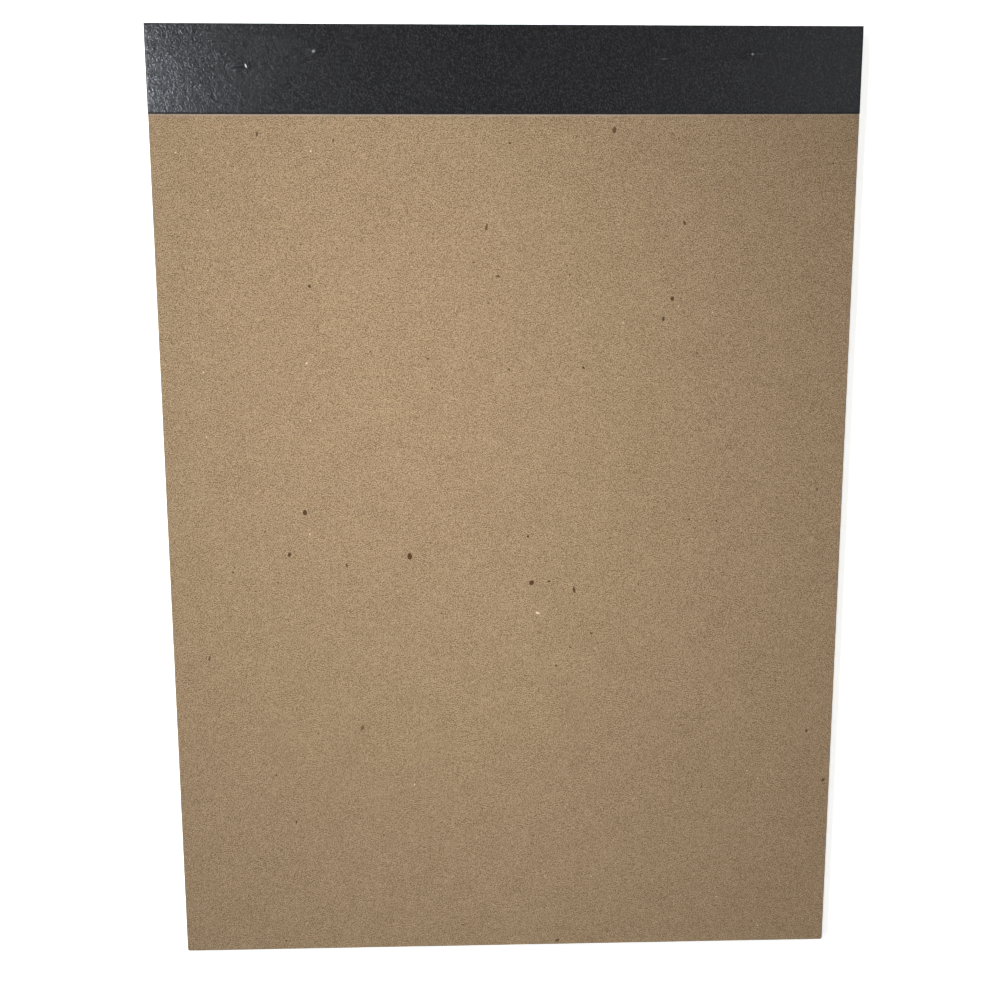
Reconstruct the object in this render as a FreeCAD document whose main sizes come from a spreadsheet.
import FreeCAD, Part
import math
import os
import re
import Sketcher

# A letter-size legal pad that lies on its sheets, with the back board up and the head towards +Y.
# The sheets and the board are trimmed together and held at the head by two wire staples.
# A leatherette tape is folded round the head over both. Millimetres, +Z up, and the origin is
# the middle of the footprint, on the surface that the pad lies on.

SIZES = {
    # Sheets and board
    "sheet_width": 215.9,
    "pad_length": 298.45,
    "sheet_thickness": 0.09,
    "sheet_count": 50,
    "board_thickness": 1.5,
    "tail_corner_radius": 0.8,
    # Perforated tear line across the sheets
    "stub_length": 19.05,
    "perforation_pitch": 2.54,
    "perforation_cut": 1.9,
    "perforation_slit": 0.1,
    # Binding tape, its flaps measured from the outside of the head
    "tape_thickness": 0.2,
    "front_flap": 16.0,
    "back_flap": 26.0,
    "fold_radius": 0.3,
    # Wire staples, their places measured from the pad's sides and from the outside of the head
    "wire_diameter": 0.6,
    "crown_width": 26.5,
    "bend_radius": 0.4,
    "clinch_length": 3.4,
    "clinch_proud": 0.15,
    "wire_clearance": 0.05,
    "ridge_slope": 35.0,
    "left_staple_inset": 39.9,
    "left_staple_from_head": 10.1,
    "left_staple_turn": 12.0,
    "right_staple_inset": 47.5,
    "right_staple_from_head": 8.9,
    "right_staple_turn": 2.6,
}

# Levels and places that follow from the sizes
BLOCK_DEPTH = "(sheet_count * sheet_thickness)"
BOARD_LEVEL = f"(tape_thickness + {BLOCK_DEPTH})"
BACK_LEVEL = f"({BOARD_LEVEL} + board_thickness)"
TOP_LEVEL = f"({BACK_LEVEL} + tape_thickness)"
SIDE = "(sheet_width / 2)"
TAIL = "(-(pad_length + tape_thickness) / 2)"
HEAD = "((pad_length - tape_thickness) / 2)"
OUTER_HEAD = f"({HEAD} + tape_thickness)"
SLIT_COUNT = "floor((sheet_width - 2 * perforation_cut) / perforation_pitch)"
BEND = "(bend_radius + wire_diameter / 2)"
CROWN_LEVEL = "(tape_thickness + wire_diameter / 2)"
CLINCH_LEVEL = f"({BACK_LEVEL} + clinch_proud - wire_diameter / 2)"
CHANNEL_RADIUS = "(wire_diameter / 2 + wire_clearance)"
HALF_CROWN = "(crown_width / 2)"
GROOVE_FLOOR = "(tape_thickness - wire_clearance)"
GROOVE_TOP = f"({BACK_LEVEL} + clinch_proud + wire_clearance)"
RIDGE_RADIUS = f"({CHANNEL_RADIUS} + 2 * tape_thickness)"

STAPLES = {
    "left": {
        "x": f"-{SIDE} + left_staple_inset",
        "y": f"{OUTER_HEAD} - left_staple_from_head",
        "turn": "left_staple_turn",
    },
    "right": {
        "x": f"{SIDE} - right_staple_inset",
        "y": f"{OUTER_HEAD} - right_staple_from_head",
        "turn": "right_staple_turn",
    },
}

# How a sketch numbers its own origin and upright axis, and the points of a line or curve
ORIGIN, UPRIGHT_AXIS = range(-1, -3, -1)
START, END, CENTRE = range(1, 4)

doc = FreeCAD.newDocument("LegalPad")
sheet = doc.addObject("Spreadsheet::Sheet", "Sizes")
for row, (name, value) in enumerate(SIZES.items(), start=1):
    sheet.set(f"A{row}", name)
    sheet.set(f"B{row}", str(value))
    sheet.setAlias(f"B{row}", name)
doc.recompute()


def in_sheet(formula):
    """A formula with each size name pointed at its cell."""
    return re.sub(r"[a-z_]+", lambda word: f"Sizes.{word[0]}" if word[0] in SIZES else word[0], formula)


def bind(thing, place, formula):
    thing.setExpression(place, in_sheet(formula))


def value_of(formula):
    return float(sheet.evalExpression(in_sheet(formula)))


def sketch_on(body, role, name, offset=None):
    """An empty sketch on one of the body's own planes, raised by the offset formula."""
    sketch = body.newObject("Sketcher::SketchObject", name)
    base = next(feature for feature in body.Origin.OriginFeatures if feature.Role == role)
    sketch.AttachmentSupport = (base, [""])
    sketch.MapMode = "FlatFace"
    if offset:
        bind(sketch, "AttachmentOffset.Base.z", offset)
    return sketch


def dimension(sketch, kind, first, second, formula):
    """A dimension between two points, each given as a line's number and its end."""
    constraint = Sketcher.Constraint(kind, *first, *second, value_of(formula))
    bind(sketch, f"Constraints[{sketch.addConstraint(constraint)}]", formula)


def pin(sketch, line, end, place):
    """Hold one end of a line at a place given by two formulas."""
    for kind, formula in zip(("DistanceX", "DistanceY"), place):
        dimension(sketch, kind, (ORIGIN, START), (line, end), formula)


def set_radius(sketch, curve, formula):
    constraint = Sketcher.Constraint("Radius", curve, value_of(formula))
    bind(sketch, f"Constraints[{sketch.addConstraint(constraint)}]", formula)


def point(place):
    return FreeCAD.Vector(value_of(place[0]), value_of(place[1]), 0)


def draw_outline(sketch, corners):
    """A closed outline of straight lines through corners given by formulas."""
    following = corners[1:] + corners[:1]
    for corner, target in zip(corners, following):
        sketch.addGeometry(Part.LineSegment(point(corner), point(target)))
    for line, corner in enumerate(corners):
        before = (line - 1) % len(corners)
        sketch.addConstraint(Sketcher.Constraint("Coincident", before, END, line, START))
        pin(sketch, line, START, corner)


def arc(centre, radius, first_turn, last_turn):
    circle = Part.Circle(centre, FreeCAD.Vector(0, 0, 1), radius)
    return Part.ArcOfCircle(circle, math.radians(first_turn), math.radians(last_turn))


def draw_circle(sketch, place, radius):
    """A circle whose middle and radius are given by formulas."""
    curve = sketch.addGeometry(Part.Circle(point(place), FreeCAD.Vector(0, 0, 1), value_of(radius)))
    pin(sketch, curve, CENTRE, place)
    set_radius(sketch, curve, radius)


def join_smoothly(sketch, pairs):
    for (line, end), (curve, curve_end) in pairs:
        sketch.addConstraint(Sketcher.Constraint("Tangent", line, end, curve, curve_end))


def pad(body, sketch, name, depth, symmetric=False):
    feature = body.newObject("PartDesign::Pad", name)
    feature.Profile = sketch
    feature.SideType = "Symmetric" if symmetric else "One side"
    bind(feature, "Length", depth)
    doc.recompute()
    return feature


def edges_at(feature, places):
    """Names of the edges whose middles are at the places, each given by three formulas."""
    names = []
    for place in places:
        target = FreeCAD.Vector(*(value_of(formula) for formula in place))
        distances = [edge.CenterOfMass.distanceToPoint(target) for edge in feature.Shape.Edges]
        names.append(f"Edge{distances.index(min(distances)) + 1}")
    return names


def fillet(body, feature, name, places, radius):
    rounding = body.newObject("PartDesign::Fillet", name)
    rounding.Base = (feature, edges_at(feature, places))
    bind(rounding, "Radius", radius)
    doc.recompute()
    return rounding


def trimmed_slab(name, level, depth, crushed_level):
    """Stock of the pad's outline, with rounded tail corners and the head edge under the fold crushed."""
    body = doc.addObject("PartDesign::Body", name)
    sketch = sketch_on(body, "XY_Plane", f"{name}_outline", level)
    draw_outline(sketch, [(f"-{SIDE}", TAIL), (SIDE, TAIL), (SIDE, HEAD), (f"-{SIDE}", HEAD)])
    slab = pad(body, sketch, f"{name}_slab", depth)
    middle = f"{level} + {depth} / 2"
    tail_corners = [(f"-{SIDE}", TAIL, middle), (SIDE, TAIL, middle)]
    trimmed = fillet(body, slab, f"{name}_tail_corners", tail_corners, "tail_corner_radius")
    fillet(body, trimmed, f"{name}_head_edge", [("0", HEAD, crushed_level)], "fold_radius")
    return body


def perforate(body):
    """Cut the row of slits along which a sheet tears off its stub."""
    sketch = sketch_on(body, "XY_Plane", "first_slit", "tape_thickness")
    left = f"-((({SLIT_COUNT}) - 1) * perforation_pitch + perforation_cut) / 2"
    right = f"{left} + perforation_cut"
    low = f"{HEAD} - stub_length - perforation_slit / 2"
    high = f"{low} + perforation_slit"
    draw_outline(sketch, [(left, low), (right, low), (right, high), (left, high)])
    solid_volume = body.Shape.Volume
    slit = body.newObject("PartDesign::Pocket", "slit")
    slit.Profile = sketch
    slit.Type = "ThroughAll"
    slit.Reversed = True
    row = body.newObject("PartDesign::LinearPattern", "perforation")
    row.Originals = [slit]
    row.Direction = (sketch, ["H_Axis"])
    bind(row, "Occurrences", SLIT_COUNT)
    bind(row, "Length", f"({SLIT_COUNT} - 1) * perforation_pitch")
    body.Tip = row
    doc.recompute()
    expected = value_of(f"{SLIT_COUNT} * perforation_cut * perforation_slit * {BLOCK_DEPTH}")
    removed = solid_volume - body.Shape.Volume
    if abs(removed - expected) > 0.01 * expected:
        raise RuntimeError(f"The perforation cuts {removed:.3f} mm3 and not {expected:.3f} mm3")


def staple_path(body, name):
    """The wire's centre line: clinched leg, leg, crown, leg, clinched leg."""
    path = sketch_on(body, "XZ_Plane", f"{name}_path")
    half = value_of(HALF_CROWN)
    bend = value_of(BEND)
    crown = value_of(CROWN_LEVEL)
    clinch = value_of(CLINCH_LEVEL)
    tip = half - value_of("clinch_length")
    corner = half - bend
    ends = [(-tip, clinch), (-corner, clinch), (-half, clinch - bend), (-half, crown + bend),
            (-corner, crown), (corner, crown), (half, crown + bend), (half, clinch - bend),
            (corner, clinch), (tip, clinch)]
    bends = [(-corner, clinch - bend, 90), (-corner, crown + bend, 180),
             (corner, crown + bend, 270), (corner, clinch - bend, 0)]
    for index in range(0, len(ends), 2):
        first, last = (FreeCAD.Vector(x, z, 0) for x, z in ends[index:index + 2])
        path.addGeometry(Part.LineSegment(first, last))
    for x, z, first_turn in bends:
        path.addGeometry(arc(FreeCAD.Vector(x, z, 0), bend, first_turn, first_turn + 90))
    left_clinch, left_leg, crown_line, right_leg, right_clinch = range(5)
    arcs = range(5, 9)
    for line, curve in enumerate(arcs):
        join_smoothly(path, [((line, END), (curve, START)), ((curve, END), (line + 1, START))])
    for line in (left_clinch, right_clinch):
        path.addConstraint(Sketcher.Constraint("Horizontal", line))
    path.addConstraint(Sketcher.Constraint("Horizontal", left_clinch, START, right_clinch, END))
    for line in (left_leg, right_leg):
        path.addConstraint(Sketcher.Constraint("Vertical", line))
    for curve in arcs[1:]:
        path.addConstraint(Sketcher.Constraint("Equal", arcs[0], curve))
    path.addConstraint(Sketcher.Constraint("Equal", left_clinch, right_clinch))
    path.addConstraint(Sketcher.Constraint("Symmetric", crown_line, START, crown_line, END, UPRIGHT_AXIS))
    set_radius(path, arcs[0], BEND)
    dimension(path, "DistanceX", (left_leg, START), (right_leg, END), "crown_width")
    dimension(path, "DistanceX", (left_leg, START), (left_clinch, START), "clinch_length")
    dimension(path, "DistanceY", (ORIGIN, START), (crown_line, START), CROWN_LEVEL)
    dimension(path, "DistanceY", (ORIGIN, START), (left_clinch, START), CLINCH_LEVEL)
    return path


def staple_wire(name, staple):
    """Round wire along a staple's path, its section drawn at the tip of the left clinched leg."""
    body = doc.addObject("PartDesign::Body", name)
    path = staple_path(body, name)
    section = sketch_on(body, "YZ_Plane", f"{name}_section", f"clinch_length - {HALF_CROWN}")
    draw_circle(section, ("0", CLINCH_LEVEL), "wire_diameter / 2")
    doc.recompute()
    wire = body.newObject("PartDesign::AdditivePipe", f"{name}_wire")
    wire.Profile = section
    wire.Spine = (path, [f"Edge{number}" for number in range(1, len(path.Shape.Edges) + 1)])
    seat_with_staple(body, staple)
    return body


def seat_with_staple(body, staple):
    """Put a body that is drawn round the staple's middle where that staple is."""
    body.Placement = FreeCAD.Placement(FreeCAD.Vector(), FreeCAD.Rotation(FreeCAD.Vector(0, 0, 1), 1))
    bind(body, "Placement.Base.x", staple["x"])
    bind(body, "Placement.Base.y", staple["y"])
    bind(body, "Placement.Rotation.Angle", staple["turn"])


def slot(body, name, span, radius, low, high):
    """A round-ended bar along the staple's crown, from one level up to another."""
    sketch = sketch_on(body, "XY_Plane", f"{name}_outline", low)
    start, stop = value_of(span[0]), value_of(span[1])
    wide = value_of(radius)
    sketch.addGeometry(Part.LineSegment(FreeCAD.Vector(start, -wide, 0), FreeCAD.Vector(stop, -wide, 0)))
    sketch.addGeometry(arc(FreeCAD.Vector(stop, 0, 0), wide, -90, 90))
    sketch.addGeometry(Part.LineSegment(FreeCAD.Vector(stop, wide, 0), FreeCAD.Vector(start, wide, 0)))
    sketch.addGeometry(arc(FreeCAD.Vector(start, 0, 0), wide, 90, 270))
    join_smoothly(sketch, [((0, END), (1, START)), ((1, END), (2, START)),
                           ((2, END), (3, START)), ((3, END), (0, START))])
    sketch.addConstraint(Sketcher.Constraint("Horizontal", 0))
    pin(sketch, 0, START, (span[0], f"-{radius}"))
    pin(sketch, 2, START, (span[1], radius))
    return pad(body, sketch, name, f"{high} - {low}")


def leg_span(side, inner):
    """From a point short of the crown's end, given by a formula, to the leg on that side."""
    return (inner, HALF_CROWN) if side == "right" else (f"-{HALF_CROWN}", f"-({inner})")


def staple_channel(name, staple):
    """The room that one staple takes: its crown's groove, two leg holes and two clinch grooves."""
    body = doc.addObject("PartDesign::Body", name)
    crown_top = f"({CROWN_LEVEL} + {CHANNEL_RADIUS})"
    front_bend_top = f"({CROWN_LEVEL} + {BEND})"
    back_bend_floor = f"({CLINCH_LEVEL} - {BEND})"
    clinch_floor = f"({CLINCH_LEVEL} - {CHANNEL_RADIUS})"
    slot(body, f"{name}_crown", (f"-{HALF_CROWN}", HALF_CROWN), CHANNEL_RADIUS, GROOVE_FLOOR, crown_top)
    holes = sketch_on(body, "XY_Plane", f"{name}_leg_outlines", CROWN_LEVEL)
    for place in (f"-{HALF_CROWN}", HALF_CROWN):
        draw_circle(holes, (place, "0"), CHANNEL_RADIUS)
    pad(body, holes, f"{name}_legs", f"{CLINCH_LEVEL} - {CROWN_LEVEL}")
    for side in ("left", "right"):
        bend = leg_span(side, f"{HALF_CROWN} - {BEND}")
        clinch = leg_span(side, f"{HALF_CROWN} - clinch_length - wire_clearance")
        slot(body, f"{name}_{side}_front_bend", bend, CHANNEL_RADIUS, GROOVE_FLOOR, front_bend_top)
        slot(body, f"{name}_{side}_back_bend", bend, CHANNEL_RADIUS, back_bend_floor, GROOVE_TOP)
        slot(body, f"{name}_{side}_clinch", clinch, CHANNEL_RADIUS, clinch_floor, GROOVE_TOP)
    seat_with_staple(body, staple)
    return body


def clinch_ridge(name, staple, side):
    """The tape raised over one clinched leg: a round-ended rib with sloping sides."""
    body = doc.addObject("PartDesign::Body", name)
    span = leg_span(side, f"{HALF_CROWN} - clinch_length")
    ridge = slot(body, f"{name}_rib", span, RIDGE_RADIUS, BACK_LEVEL, f"({GROOVE_TOP} + tape_thickness)")
    bind(ridge, "TaperAngle", "-ridge_slope")
    seat_with_staple(body, staple)
    return body


def folded_tape():
    """The tape's channel section, drawn square and rounded at its two folds."""
    body = doc.addObject("PartDesign::Body", "tape_strip")
    section = sketch_on(body, "YZ_Plane", "tape_section")
    front_end = f"{OUTER_HEAD} - front_flap"
    back_end = f"{OUTER_HEAD} - back_flap"
    draw_outline(section, [
        (front_end, "0"), (OUTER_HEAD, "0"), (OUTER_HEAD, TOP_LEVEL), (back_end, TOP_LEVEL),
        (back_end, BACK_LEVEL), (HEAD, BACK_LEVEL), (HEAD, "tape_thickness"), (front_end, "tape_thickness"),
    ])
    strip = pad(body, section, "tape_width", "sheet_width", symmetric=True)
    outer = [("0", OUTER_HEAD, "0"), ("0", OUTER_HEAD, TOP_LEVEL)]
    inner = [("0", HEAD, "tape_thickness"), ("0", HEAD, BACK_LEVEL)]
    strip = fillet(body, strip, "tape_outer_folds", outer, "fold_radius + tape_thickness")
    fillet(body, strip, "tape_inner_folds", inner, "fold_radius")
    return body


def joined(label, pieces):
    result = doc.addObject("Part::MultiFuse", label)
    result.Shapes = pieces
    return result


def cut(label, base, tool):
    """One sub-part: its stock less the channels that the staples take."""
    result = doc.addObject("Part::Cut", label)
    result.Base = base
    result.Tool = tool
    result.Placement = FreeCAD.Placement()
    return result


sheets = trimmed_slab("sheet_stock", "tape_thickness", BLOCK_DEPTH, "tape_thickness")
perforate(sheets)
board = trimmed_slab("board_stock", BOARD_LEVEL, "board_thickness", BACK_LEVEL)

wires = {}
channel_parts = []
tape_parts = [folded_tape()]
for hand, staple in STAPLES.items():
    wires[f"staple_{hand}"] = staple_wire(f"staple_{hand}", staple)
    channel_parts.append(staple_channel(f"{hand}_channel", staple))
    for side in ("left", "right"):
        tape_parts.append(clinch_ridge(f"{hand}_staple_{side}_ridge", staple, side))
doc.recompute()

channels = joined("staple_channels", channel_parts)
sub_parts = {
    "sheet_block": cut("sheet_block", sheets, channels),
    "backing_board": cut("backing_board", board, channels),
    "binding_tape": cut("binding_tape", joined("ridged_tape", tape_parts), channels),
    **wires,
}
doc.recompute()

for thing in doc.Objects:
    if "Invalid" in thing.State or "Error" in thing.State:
        raise RuntimeError(f"{thing.Label} could not be made: {thing.State}")
for name, thing in sub_parts.items():
    if thing.Shape.isNull() or not thing.Shape.isValid() or len(thing.Shape.Solids) != 1:
        raise RuntimeError(f"{name} isn't one valid solid")

os.makedirs("parts", exist_ok=True)
for name, thing in sub_parts.items():
    thing.Shape.exportStep(f"parts/{name}.step")
    box = thing.Shape.BoundBox
    print(f"{name}: {thing.Shape.Volume:.2f} mm3, x {box.XMin:.3f} to {box.XMax:.3f}, "
          f"y {box.YMin:.3f} to {box.YMax:.3f}, z {box.ZMin:.3f} to {box.ZMax:.3f}")
